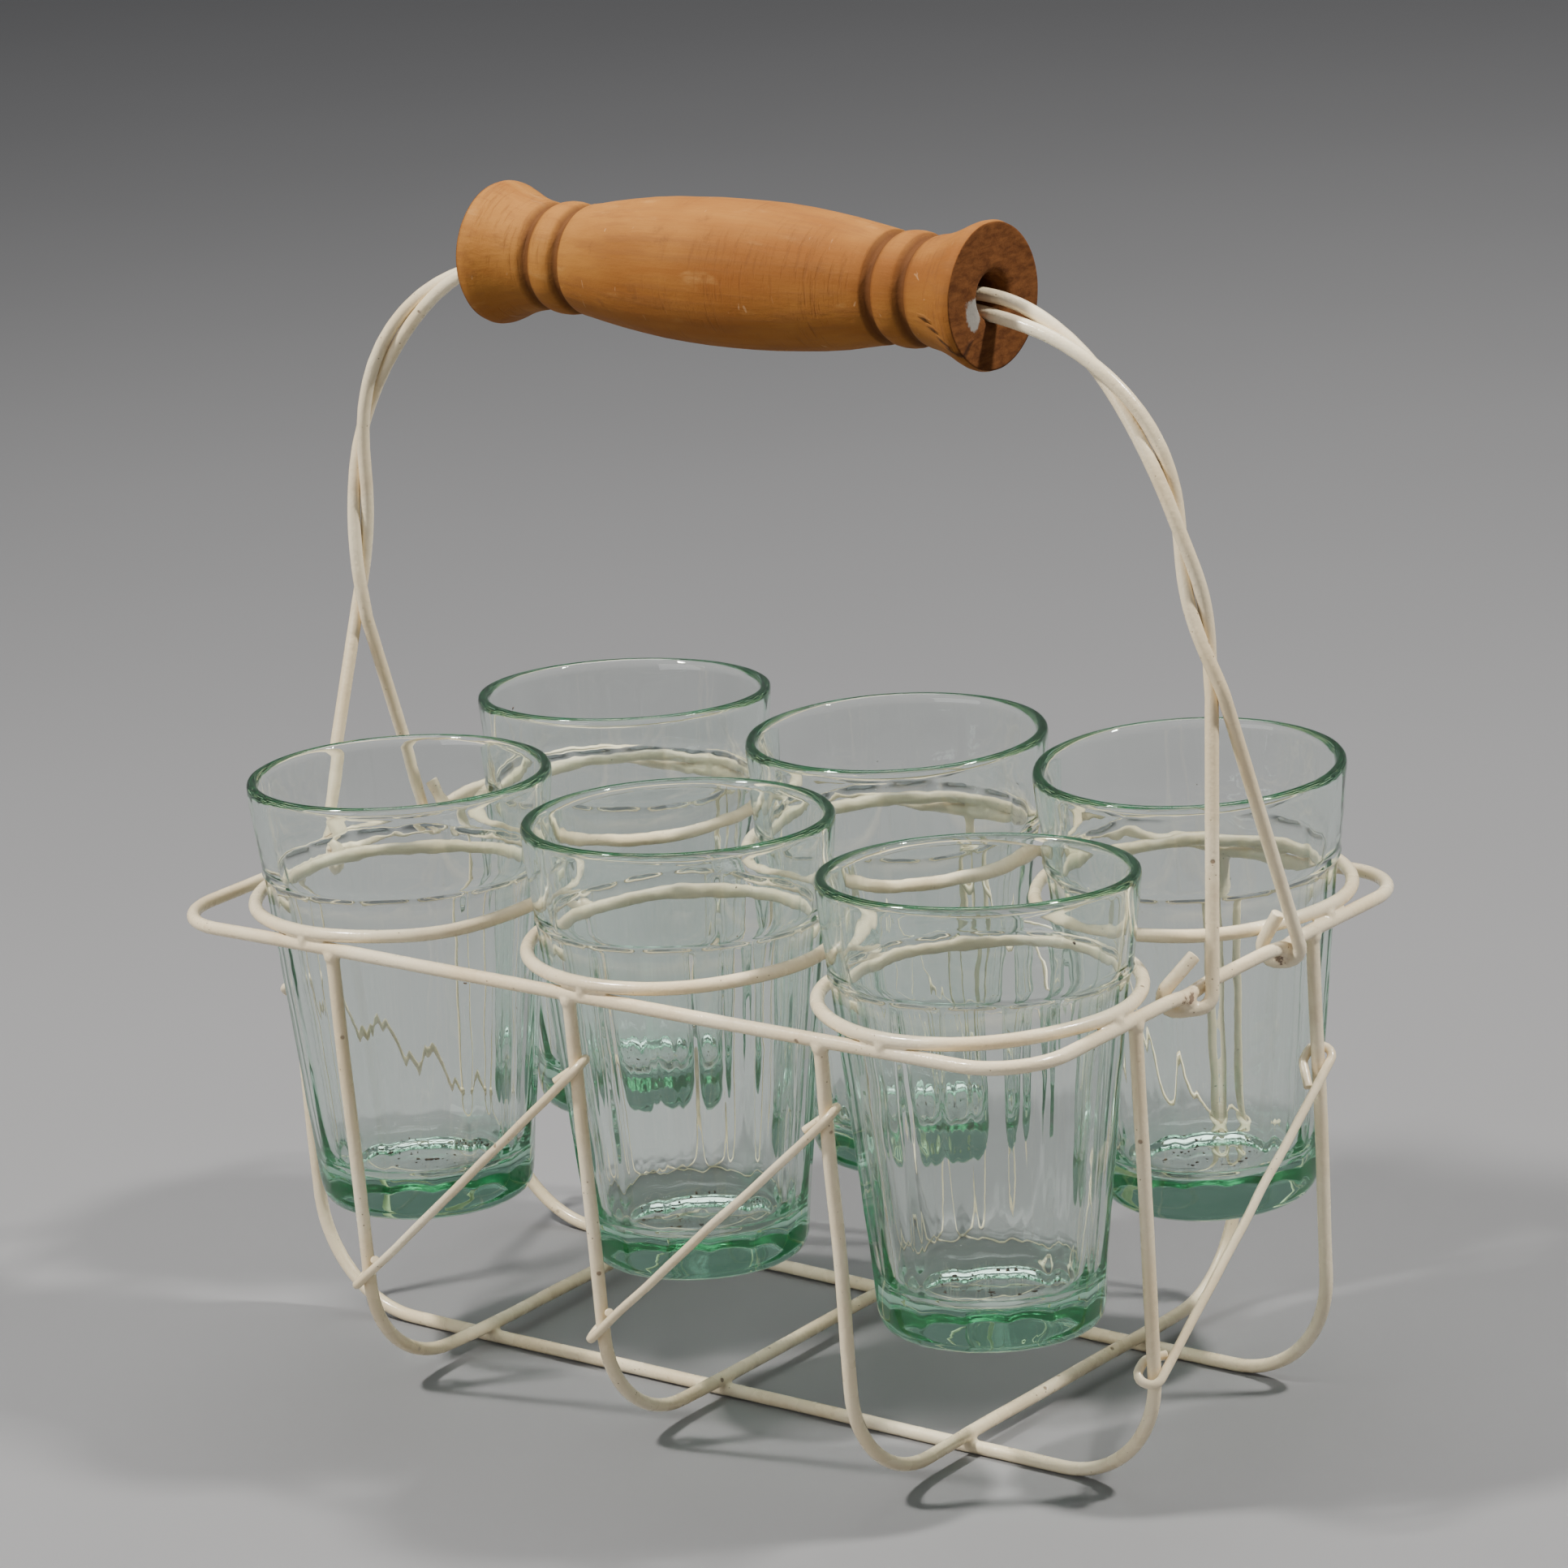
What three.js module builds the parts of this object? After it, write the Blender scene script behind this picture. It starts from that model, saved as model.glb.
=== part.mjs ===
// Wire carrier for six tea glasses, with a turned wooden grip on a twisted wire bail.
// Millimetres, +Z up. The origin is on the floor, below the middle of the carrier.
// X runs along the rows of three glasses, and Y from the front row to the back row.
import * as THREE from "three";

// ---- driving dimensions --------------------------------------------------------------------
const WIRE = 3; // frame and bail wire
const BRACE_WIRE = 2;
const GAP = 0.3; // left between pieces that touch
const SECTION_SIDES = 8;
const BEND_STEPS = 5; // round each bend
const BRACE_BEND_STEPS = 3;

const RIM = { halfLength: 119, halfWidth: 72.5, corner: 16, height: 106 };
const PITCH = { x: 80, y: 77.5 }; // between glass axes
const ROW_SHIFT = 4.5; // the rows sit towards the right end, where their rings lie on the rim
const RING_RADIUS = 34;
const RING_STEPS = 28;
const LINK_OFFSET = 7; // the links run this far behind the ring centres

const CROSS = { spacing: 68, baseHalf: 70, bend: 23.5 };
const LONG = { y: 32.5, baseHalf: 118, bend: 26 };

const BRACE = { lowZ: 29, highZ: 88, reach: 3.9, tail: 7, bend: 2.8 };
const END_BRACE = { lowZ: 28, highZ: 76 };

const BAIL = {
  shoulderLeft: { at: [-108, 0, 245.6], bend: 60 },
  shoulderRight: { at: [104.5, 0, 245.6], bend: 51 },
  splitLeft: [-118.3, 0, 158],
  splitRight: [119.7, 2, 166],
  steps: 60,
  twistRadius: WIRE / 2 + GAP, // from the bail's middle line to each wire
};
// The pair is twisted left-handed, tighter near the splits: share of its length, half turns so far.
const TWIST = [
  [0, 0], [0.017, 0.27], [0.13, 1.28], [0.284, 2.45], [0.703, 5.1],
  [0.787, 5.7], [0.9, 6.7], [0.98, 7.7], [1, 8],
];
// A hook's corners, measured from the rim's middle line: outside it, inside it, and the free end above.
const HOOK = { out: 4.4, under: 4.6, back: 5.2, rise: 0.8, riseBack: 4.9, tipRise: 7.4, tipBack: 0.8, bend: 4.3 };
// Where each hook lies along the rim: the leg outside, the wire inside, and the free end.
const FEET = {
  left: { front: [-18.2, -18.6, -19], back: [20.6, 20.3, 19.6] },
  right: { front: [-10, -17.5, -11], back: [24, 18, 19] },
};

const GRIP = { middle: 2.5, height: 246.85, half: 67.5, bore: 5.9, sides: 20 };
// Half of the grip's outline: distance from its middle, then radius.
const GRIP_OUTLINE = [
  [0, 16], [14, 15.7], [26, 14.6], [36, 12.9], [41, 12.1],
  [42, 11], [43.6, 11], [44.6, 12], [47.4, 12.2], [50, 11.9],
  [51, 10.9], [52.6, 10.9], [53.6, 11.8], [58, 12.6], [62, 14.2], [65.6, 15.7], [67.5, 15.4],
];

const GLASS = { floor: 38.5, sides: 22 };
// The glass's closed outline from the outer base, over the lip, to the inner base: radius, height.
const GLASS_OUTLINE = [
  [0, 0], [19.5, 0.4], [22.8, 2], [24.2, 5.5], [30.4, 70], [31.6, 76.5], [34, 96.6],
  [32.9, 98], [31.4, 96.8], [28.9, 76], [21.4, 18], [19, 13.6], [0, 12],
];
// Each glass sits a little askew in its ring: degrees about X and about Y, then how far it is raised.
const GLASS_SEAT = [
  [-2.3, -0.5, 0], [-2.9, -0.4, 0], [-4.2, -0.8, -1.6], [-3.9, -0.6, -1.6], [-1.2, 0, -2], [0, 0.6, 1],
];

// ---- materials -----------------------------------------------------------------------------
const paint = () => new THREE.MeshStandardMaterial({ color: 0xe8dec8, roughness: 0.3, metalness: 0 });
const wood = () => new THREE.MeshStandardMaterial({ color: 0xb47d48, roughness: 0.55, metalness: 0 });
const glass = () =>
  new THREE.MeshStandardMaterial({
    color: 0xcfe4da, roughness: 0.05, metalness: 0, transparent: true, opacity: 0.35,
  });

// ---- wire tools ----------------------------------------------------------------------------
const vec = (x, y, z) => new THREE.Vector3(x, y, z);
const asVector = (p) => (p.isVector3 ? p.clone() : vec(...p));
const direction = (from, to) => to.clone().sub(from).normalize();
const along = (point, dir, distance) => point.clone().addScaledVector(dir, distance);
const acrossCorners = (wireDiameter) => wireDiameter / 2 / Math.cos(Math.PI / SECTION_SIDES);

// A wire's middle line, given by its stations: one at each end of a straight run, more round bends.
class WireRoute extends THREE.Curve {
  constructor(stations, closed = false) {
    super();
    this.stations = stations;
    this.closed = closed;
    this.spans = closed ? stations.length : stations.length - 1;
  }
  station(index) {
    const count = this.stations.length;
    if (this.closed) return this.stations[(index + count) % count];
    return this.stations[Math.min(Math.max(index, 0), count - 1)];
  }
  getPointAt(u, target = new THREE.Vector3()) {
    return target.copy(this.station(Math.round(u * this.spans)));
  }
  getTangentAt(u, target = new THREE.Vector3()) {
    const index = Math.round(u * this.spans);
    const here = this.station(index);
    const before = direction(this.station(index - 1), here);
    const after = direction(here, this.station(index + 1));
    return target.copy(before).add(after).normalize();
  }
}

// Stations of one bend of the given radius, where the runs before - corner - after meet.
function bendStations(before, corner, after, radius, steps = BEND_STEPS) {
  const back = direction(corner, before);
  const on = direction(corner, after);
  const halfAngle = back.angleTo(on) / 2;
  const middle = along(corner, back.clone().add(on).normalize(), radius / Math.sin(halfAngle));
  const start = along(corner, back, radius / Math.tan(halfAngle)).sub(middle);
  const end = along(corner, on, radius / Math.tan(halfAngle)).sub(middle);
  const turn = Math.PI - 2 * halfAngle;
  return Array.from({ length: steps + 1 }, (_, i) => {
    const part = (i / steps) * turn;
    return middle
      .clone()
      .addScaledVector(start, Math.sin(turn - part) / Math.sin(turn))
      .addScaledVector(end, Math.sin(part) / Math.sin(turn));
  });
}

// Stations of a wire that runs through the corners and is bent at each one between its ends.
function bentStations(corners, radii, steps) {
  const points = corners.map(asVector);
  const last = points.length - 1;
  const bends = points.slice(1, last).flatMap((corner, i) => {
    const radius = Array.isArray(radii) ? radii[i] : radii;
    return bendStations(points[i], corner, points[i + 2], radius, steps);
  });
  return [points[0], ...bends, points[last]];
}

function wireMesh(name, stations, diameter) {
  const radius = acrossCorners(diameter);
  const section = new THREE.Shape(
    Array.from({ length: SECTION_SIDES }, (_, i) => {
      const angle = ((i + 0.5) / SECTION_SIDES) * 2 * Math.PI;
      return new THREE.Vector2(radius * Math.cos(angle), radius * Math.sin(angle));
    }),
  );
  const extrudePath = new WireRoute(stations);
  const geometry = new THREE.ExtrudeGeometry(section, { steps: extrudePath.spans, extrudePath });
  return namedMesh(name, geometry, paint());
}

function namedMesh(name, geometry, material) {
  const mesh = new THREE.Mesh(geometry, material);
  mesh.name = name;
  return mesh;
}

// ---- frame ---------------------------------------------------------------------------------
const wireReach = acrossCorners(WIRE);
const braceReach = acrossCorners(BRACE_WIRE);
const uprightTop = RIM.height - wireReach - GAP;
const ringHeight = RIM.height + 2 * wireReach + GAP;
const longBaseZ = WIRE / 2;
const crossBaseZ = longBaseZ + WIRE + GAP;

const glassPlaces = [-1, 1].flatMap((row) =>
  [-1, 0, 1].map((column) => ({ row, x: column * PITCH.x + ROW_SHIFT, y: (row * PITCH.y) / 2 })),
);

function topRim() {
  const corners = [[1, 1], [-1, 1], [-1, -1], [1, -1]].map(([sx, sy]) =>
    vec(sx * RIM.halfLength, sy * RIM.halfWidth, RIM.height),
  );
  const stations = corners.flatMap((corner, i) =>
    bendStations(corners[(i + 3) % 4], corner, corners[(i + 1) % 4], RIM.corner),
  );
  const route = new WireRoute(stations, true);
  const geometry = new THREE.TubeGeometry(route, route.spans, wireReach, SECTION_SIDES, true);
  return namedMesh("top_rim", geometry, paint());
}

function glassRing(place, index) {
  const geometry = new THREE.TorusGeometry(RING_RADIUS, wireReach, SECTION_SIDES, RING_STEPS);
  const ring = namedMesh(`glass_ring_${index + 1}`, geometry, paint());
  ring.position.set(place.x, place.y, ringHeight);
  return ring;
}

function ringLinks() {
  const reach = RING_RADIUS + wireReach + GAP;
  const names = { "-1": "front", 1: "back" };
  return [-1, 1].flatMap((row) =>
    [-1, 0].map((column, i) => {
      const y = (row * PITCH.y) / 2 + LINK_OFFSET;
      const from = column * PITCH.x + ROW_SHIFT + reach;
      const to = from + PITCH.x - 2 * reach;
      const stations = [vec(from, y, ringHeight), vec(to, y, ringHeight)];
      return wireMesh(`ring_link_${names[row]}_${"ab"[i]}`, stations, WIRE);
    }),
  );
}

// The uprights of the U-shaped wires lean outwards a little, from the base to the rim.
function crossWire(name, column) {
  const x = column * CROSS.spacing;
  const corners = [
    [x, -RIM.halfWidth, uprightTop],
    [x, -CROSS.baseHalf, crossBaseZ],
    [x, CROSS.baseHalf, crossBaseZ],
    [x, RIM.halfWidth, uprightTop],
  ];
  return wireMesh(name, bentStations(corners, CROSS.bend), WIRE);
}

function longWire(name, side) {
  const corners = [
    [-RIM.halfLength, side * LONG.y, uprightTop],
    [-LONG.baseHalf, side * LONG.y, longBaseZ],
    [LONG.baseHalf, side * LONG.y, longBaseZ],
    [RIM.halfLength, side * LONG.y, uprightTop],
  ];
  return wireMesh(name, bentStations(corners, LONG.bend), WIRE);
}

// A point on the middle line of an upright, at the given height.
function onCrossUpright(column, side, z) {
  const part = (z - crossBaseZ) / (uprightTop - crossBaseZ);
  const y = CROSS.baseHalf + part * (RIM.halfWidth - CROSS.baseHalf);
  return vec(column * CROSS.spacing, side * y, z);
}
function onLongUpright(end, side, z) {
  const part = (z - longBaseZ) / (uprightTop - longBaseZ);
  const x = LONG.baseHalf + part * (RIM.halfLength - LONG.baseHalf);
  return vec(end * x, side * LONG.y, z);
}

// A brace lies on the outer side of two uprights, and each end wraps round behind its upright.
function brace(name, low, high, outward) {
  const run = direction(low, high);
  const out = outward.clone().addScaledVector(run, -outward.dot(run)).normalize();
  const offset = wireReach + braceReach + GAP;
  const corners = [
    along(along(low, run, BRACE.tail), out, -offset),
    along(along(low, run, -BRACE.reach), out, -offset),
    along(along(low, run, -BRACE.reach), out, offset),
    along(along(high, run, BRACE.reach), out, offset),
    along(along(high, run, BRACE.reach), out, -offset),
    along(along(high, run, -BRACE.tail), out, -offset),
  ];
  return wireMesh(name, bentStations(corners, BRACE.bend, BRACE_BEND_STEPS), BRACE_WIRE);
}

function braces() {
  const { lowZ, highZ } = BRACE;
  const side = (name, lowColumn, highColumn, row) =>
    brace(name, onCrossUpright(lowColumn, row, lowZ), onCrossUpright(highColumn, row, highZ), vec(0, row, 0));
  const end = (name, which, lowRow) =>
    brace(
      name,
      onLongUpright(which, lowRow, END_BRACE.lowZ),
      onLongUpright(which, -lowRow, END_BRACE.highZ),
      vec(which, 0, 0),
    );
  return [
    side("brace_front_left", -1, 0, -1),
    side("brace_front_right", 0, 1, -1),
    side("brace_back_left", 0, -1, 1),
    side("brace_back_right", 1, 0, 1),
    end("brace_end_left", -1, 1),
    end("brace_end_right", 1, -1),
  ];
}

// ---- bail ----------------------------------------------------------------------------------
// Stations from a hook's free end, under the rim and up the leg, as far as the split.
function legStations(end, [outsideY, insideY, tipY], splitPoint) {
  const rimX = end * RIM.halfLength;
  const low = RIM.height - HOOK.under;
  const corners = [
    vec(rimX - end * HOOK.tipBack, tipY, RIM.height + HOOK.tipRise),
    vec(rimX - end * HOOK.riseBack, insideY, RIM.height + HOOK.rise),
    vec(rimX - end * HOOK.back, insideY, low),
    vec(rimX + end * HOOK.out, outsideY, low),
    splitPoint,
  ];
  return bentStations(corners, HOOK.bend).slice(0, -1);
}

function halfTurnsAt(share) {
  const next = Math.max(1, TWIST.findIndex(([at]) => at >= share));
  const [[fromShare, fromTurns], [toShare, toTurns]] = TWIST.slice(next - 1, next + 1);
  return fromTurns + ((share - fromShare) / (toShare - fromShare)) * (toTurns - fromTurns);
}

// One wire of the pair: a helix about the bail's middle line. Phase 0 lies behind the line.
function twistStations(phase) {
  const { shoulderLeft, shoulderRight, splitLeft, splitRight } = BAIL;
  const middle = new THREE.CurvePath();
  const points = bentStations(
    [splitLeft, shoulderLeft.at, shoulderRight.at, splitRight],
    [shoulderLeft.bend, shoulderRight.bend],
  );
  points.slice(1).forEach((point, i) => middle.add(new THREE.LineCurve3(points[i], point)));
  return Array.from({ length: BAIL.steps + 1 }, (_, i) => {
    const u = i / BAIL.steps;
    const tangent = middle.getTangentAt(u);
    const sideways = vec(0, 1, 0).addScaledVector(tangent, -tangent.y).normalize();
    const outward = tangent.clone().cross(sideways);
    const angle = phase - halfTurnsAt(u) * Math.PI;
    return middle
      .getPointAt(u)
      .addScaledVector(sideways, BAIL.twistRadius * Math.cos(angle))
      .addScaledVector(outward, BAIL.twistRadius * Math.sin(angle));
  });
}

function bailWire(name, phase, leftFoot, rightFoot) {
  const twist = twistStations(phase);
  const left = legStations(-1, leftFoot, twist[0]);
  const right = legStations(1, rightFoot, twist[twist.length - 1]);
  return wireMesh(name, [...left, ...twist, ...right.reverse()], WIRE);
}

// ---- grip and glasses ----------------------------------------------------------------------
function grip() {
  const mirrored = GRIP_OUTLINE.slice(1).reverse().map(([distance, radius]) => [-distance, radius]);
  const outer = [...mirrored, ...GRIP_OUTLINE];
  const profile = [
    [-GRIP.half, GRIP.bore], ...outer, [GRIP.half, GRIP.bore], [-GRIP.half, GRIP.bore],
  ].map(([distance, radius]) => new THREE.Vector2(radius, distance));
  const body = namedMesh("grip", new THREE.LatheGeometry(profile, GRIP.sides), wood());
  body.rotation.z = -Math.PI / 2;
  body.position.set(GRIP.middle, 0, GRIP.height);
  return body;
}

function teaGlass(place, index) {
  const profile = GLASS_OUTLINE.map(([radius, height]) => new THREE.Vector2(radius, height));
  const geometry = new THREE.LatheGeometry(profile, GLASS.sides);
  geometry.rotateX(Math.PI / 2);
  geometry.translate(0, 0, GLASS.floor - ringHeight);
  const body = namedMesh(`glass_${index + 1}`, geometry, glass());
  const [aboutX, aboutY, raised] = GLASS_SEAT[index];
  body.rotation.set(THREE.MathUtils.degToRad(aboutX), THREE.MathUtils.degToRad(aboutY), 0);
  body.position.set(place.x, place.y, ringHeight + raised);
  return body;
}

// ---- assembly ------------------------------------------------------------------------------
const carrier = new THREE.Group();
carrier.add(topRim(), ...glassPlaces.map(glassRing), ...ringLinks());
["left", "middle", "right"].forEach((name, i) => carrier.add(crossWire(`cross_wire_${name}`, i - 1)));
carrier.add(longWire("long_wire_front", -1), longWire("long_wire_back", 1), ...braces());
carrier.add(bailWire("bail_wire_a", Math.PI / 2, FEET.left.front, FEET.right.back));
carrier.add(bailWire("bail_wire_b", -Math.PI / 2, FEET.left.back, FEET.right.front));
carrier.add(grip(), ...glassPlaces.map(teaGlass));

export default carrier;
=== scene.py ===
"""Looks of a wire carrier with six ribbed tea glasses and a turned wooden grip.

Lengths are in millimetres up to the moment a mesh is made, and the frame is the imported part's own:
+X along the rows of glasses, +Y from the front row to the back row, +Z up from the floor.
"""

import math

import bmesh
import bpy
import numpy as np
from mathutils import Matrix, Vector, noise


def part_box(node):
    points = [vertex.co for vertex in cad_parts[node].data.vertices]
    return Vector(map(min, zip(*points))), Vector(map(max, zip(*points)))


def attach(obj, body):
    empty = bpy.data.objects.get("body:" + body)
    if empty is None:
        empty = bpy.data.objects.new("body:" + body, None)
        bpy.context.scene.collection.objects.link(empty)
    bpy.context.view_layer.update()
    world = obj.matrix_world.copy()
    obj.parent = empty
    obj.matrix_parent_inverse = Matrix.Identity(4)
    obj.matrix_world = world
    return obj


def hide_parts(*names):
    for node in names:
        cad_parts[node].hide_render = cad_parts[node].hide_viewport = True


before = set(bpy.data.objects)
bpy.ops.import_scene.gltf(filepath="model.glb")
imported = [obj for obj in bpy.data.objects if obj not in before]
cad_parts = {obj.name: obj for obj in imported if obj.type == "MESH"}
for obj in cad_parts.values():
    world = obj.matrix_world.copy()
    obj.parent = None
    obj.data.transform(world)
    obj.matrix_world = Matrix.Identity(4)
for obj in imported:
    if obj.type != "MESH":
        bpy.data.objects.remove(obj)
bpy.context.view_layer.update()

MM = 0.001
UP = np.array([0.0, 0.0, 1.0])


def node_box(name):
    """Lowest and highest corner of a CAD node, in millimetres."""
    low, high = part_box(name)
    return np.array(low) / MM, np.array(high) / MM


# ---- sizes ---------------------------------------------------------------------------------
WIRE_RADIUS = 1.5
BRACE_RADIUS = 1.0
WIRE_STEP, BRACE_STEP = 1.3, 0.9  # spacing of the rings of points along a wire
WIRE_SIDES, BRACE_SIDES, WELD_SIDES = 16, 12, 12
CUT_END = [(0.06, 0.98), (0.16, 0.88), (0.22, 0.66)]  # past the end, and how wide, as shares of the radius
COAT = 0.05  # the paint stands this far between wires that touch

rim_low, rim_high = node_box("top_rim")
CAD_WIRE_REACH = (rim_high[2] - rim_low[2]) / 2
RIM_X = rim_high[0] - CAD_WIRE_REACH
RIM_Y = rim_high[1] - CAD_WIRE_REACH
RIM_Z = (rim_low[2] + rim_high[2]) / 2
RIM_CORNER = 16.0
RIM_DENT, RIM_DENT_IN, RIM_DENT_REACH = 0.9, 0.5, 4.5  # under the hooks the rim is bent down and inwards
WEAR_REACH, STANDING_WEAR = 5.0, 0.8  # round each hook, and up from the floor
UPRIGHT_TOP = RIM_Z - 1.0

RING_RADIUS = (node_box("glass_ring_1")[1][0] - node_box("glass_ring_1")[0][0]) / 2 - CAD_WIRE_REACH
RING_Z = RIM_Z + 2 * WIRE_RADIUS + COAT
ring_middles = [sum(node_box(f"glass_ring_{i}")) / 2 for i in range(1, 7)]
LINK_OFFSET = 7.0
WELD_VOXEL, WELD_SOFTENING, WELD_BEAD = 0.34, 9, 0.6

LONG_Z = WIRE_RADIUS
CROSS_Z = 3 * WIRE_RADIUS + COAT
CROSS_BASE_Y = 70.0
CROSS_BEND = 23.5
LONG_BASE_X = 118.0
LONG_BEND = 26.0
CROSS_X = [sum(node_box(f"cross_wire_{n}"))[0] / 2 for n in ("left", "middle", "right")]
LONG_Y = [sum(node_box(f"long_wire_{n}"))[1] / 2 for n in ("front", "back")]

BRACE_LOW_Z, BRACE_HIGH_Z = 29.0, 88.0
END_BRACE_LOW_Z, END_BRACE_HIGH_Z = 28.0, 76.0
BRACE_HOOK_REACH = 3.6
BRACE_LOW_TAIL, BRACE_HIGH_TAIL = 4.6, 6.5
BRACE_PAST_UPRIGHT = 1.4
# A free end lies this far out from the upright's middle, and this far above the brace.
TAIL_BEHIND, TAIL_BESIDE = (0.2, 1.9), (0.8, 0.1)
BRACE_TAIL_SHIFT = 1.7
BRACE_HOOK_BEND = 2.4

SHOULDERS = [(-108.0, 0.0, 245.6), (104.5, 0.0, 245.4)]
SHOULDER_BENDS = [60.0, 51.0]
SPLITS = [(-118.3, 0.0, 158.0), (119.7, 2.0, 166.0)]
# The pair is twisted left-handed, tighter near the splits: share of its length, half turns so far.
TWIST = [
    (0, 0), (0.017, 0.27), (0.13, 1.28), (0.284, 2.45), (0.703, 5.1),
    (0.787, 5.7), (0.9, 6.7), (0.98, 7.7), (1, 8),
]
TWIST_RADIUS = WIRE_RADIUS + COAT
LOOSE_PLACE, LOOSE_REACH, LOOSE_GAP = 0.72, 0.035, 0.45  # the pair opens a little beside the grip
# A hook's corners, measured from the rim's middle line: outside it, inside it, and the free end above.
HOOK = {
    "out": 3.4, "under": 3.9, "back": 3.7, "rise": 0.6, "rise_back": 3.7,
    "tip_rise": 6.9, "tip_back": 0.2, "bend": 3.2,
}
# Where each hook lies along the rim: the leg outside, the wire inside, and the free end.
LEFT_FEET = {"a": (-18.2, -18.6, -19.0), "b": (20.6, 20.3, 19.6)}
RIGHT_FEET = {"a": (24.0, 19.2, 20.5), "b": (-10.0, -17.6, -10.6)}

GRIP_MIDDLE = (2.5, 0.0, 246.85)
GRIP_HALF = 67.5
GRIP_BORE = 5.0
CRACK_ANGLE = -140.0  # degrees about the grip, where the crack meets the right end
CRACK_SLANT = -3.5
CRACK_LENGTH = 9.0
CRACK_WIDTH = 2.4  # degrees to either side
GRIP_SIDES = 96
END_FACE_RADII = [15.5, 15.1, 13.8, 12.2, 10.6, 9.0, 7.6, 6.3]
SMEAR_MIDDLE, SMEAR_HALF = (-7.0, -2.2), (3.6, 4.6)  # dried paint beside the bore, across and up

GLASS_FLOOR = 38.5
# Degrees about X and about Y, then millimetres raised: how each glass sits in its ring.
GLASS_SEATS = [
    (-2.3, -0.5, 0.0), (-2.9, -0.4, 0.0), (-4.2, -0.8, -1.6),
    (-3.9, -0.6, -1.6), (-1.2, 0.0, -2.0), (0.0, 0.6, 1.0),
]
CAD_RING_Z = ring_middles[0][2]


# ---- routes of wire ------------------------------------------------------------------------
def unit(v):
    return v / np.linalg.norm(v)


def bend_points(before, corner, after, radius, steps=16):
    """Points of the arc that rounds a corner."""
    back, on = unit(before - corner), unit(after - corner)
    half = math.acos(np.clip(back @ on, -1, 1)) / 2
    middle = corner + unit(back + on) * radius / math.sin(half)
    start = corner + back * radius / math.tan(half) - middle
    end = corner + on * radius / math.tan(half) - middle
    turn = math.pi - 2 * half
    parts = np.linspace(0, turn, steps + 1)
    return [
        middle + (start * math.sin(turn - t) + end * math.sin(t)) / math.sin(turn) for t in parts
    ]


def bent(corners, radii):
    """An open route through corners that are rounded one by one."""
    points = [np.array(c, float) for c in corners]
    if not hasattr(radii, "__len__"):
        radii = [radii] * (len(points) - 2)
    route = [points[0]]
    for i, radius in enumerate(radii):
        route += bend_points(points[i], points[i + 1], points[i + 2], radius)
    return np.array(route + [points[-1]])


def resampled(points, step, closed=False):
    """The same route with even spacing."""
    points = np.asarray(points, float)
    if closed:
        points = np.vstack([points, points[:1]])
    lengths = np.linalg.norm(np.diff(points, axis=0), axis=1)
    at = np.concatenate([[0], np.cumsum(lengths)])
    count = max(4, int(round(at[-1] / step)))
    wanted = np.linspace(0, at[-1], count + 1)
    even = np.stack([np.interp(wanted, at, points[:, k]) for k in range(3)], axis=1)
    return even[:-1] if closed else even


def wobbled(points, seed, size=0.3, waves=7, closed=False):
    """Hand bending: a few slow waves, which fade out at the ends of an open route."""
    rng = np.random.default_rng(seed)
    along = np.arange(len(points)) / len(points)
    drift = np.zeros_like(points)
    for wave in range(1, waves + 1):
        phase = rng.uniform(0, 2 * math.pi, 3)
        strength = rng.uniform(-1, 1, 3) * size / math.sqrt(wave)
        drift += np.sin(2 * math.pi * wave * along[:, None] + phase) * strength
    if not closed:
        fade = np.minimum(1, np.minimum(along, 1 - along) * 12)
        drift *= fade[:, None]
    return points + drift


# ---- meshes --------------------------------------------------------------------------------
def new_object(name, verts_mm, faces, material):
    mesh = bpy.data.meshes.new(name)
    mesh.from_pydata((np.asarray(verts_mm) * MM).tolist(), [], faces)
    mesh.validate()
    mesh.update()
    mesh.shade_smooth()
    if material is not None:
        mesh.materials.append(material)
    obj = bpy.data.objects.new(name, mesh)
    bpy.context.scene.collection.objects.link(obj)
    return obj


def point_attribute(obj, name, values):
    attribute = obj.data.attributes.new(name, "FLOAT", "POINT")
    attribute.data.foreach_set("value", np.asarray(values, np.float32))


def travelling_frames(points, closed):
    """Tangent and two cross directions at each point, carried along without twisting."""
    count = len(points)
    if closed:
        tangents = np.roll(points, -1, 0) - np.roll(points, 1, 0)
    else:
        tangents = np.gradient(points, axis=0)
    tangents /= np.linalg.norm(tangents, axis=1)[:, None]
    helper = np.eye(3)[np.argmin(np.abs(tangents[0]))]
    normal = unit(np.cross(tangents[0], helper))
    normals = [normal]
    for i in range(1, count):
        normal = unit(normal - tangents[i] * (normal @ tangents[i]))
        normals.append(normal)
    normals = np.array(normals)
    binormals = np.cross(tangents, normals)
    if closed:
        back = unit(normals[-1] - tangents[0] * (normals[-1] @ tangents[0]))
        slip = math.atan2(back @ binormals[0], back @ normals[0])
        turn = -slip * np.arange(count) / count
        cos, sin = np.cos(turn)[:, None], np.sin(turn)[:, None]
        normals, binormals = normals * cos + binormals * sin, binormals * cos - normals * sin
    return tangents, normals, binormals


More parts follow.
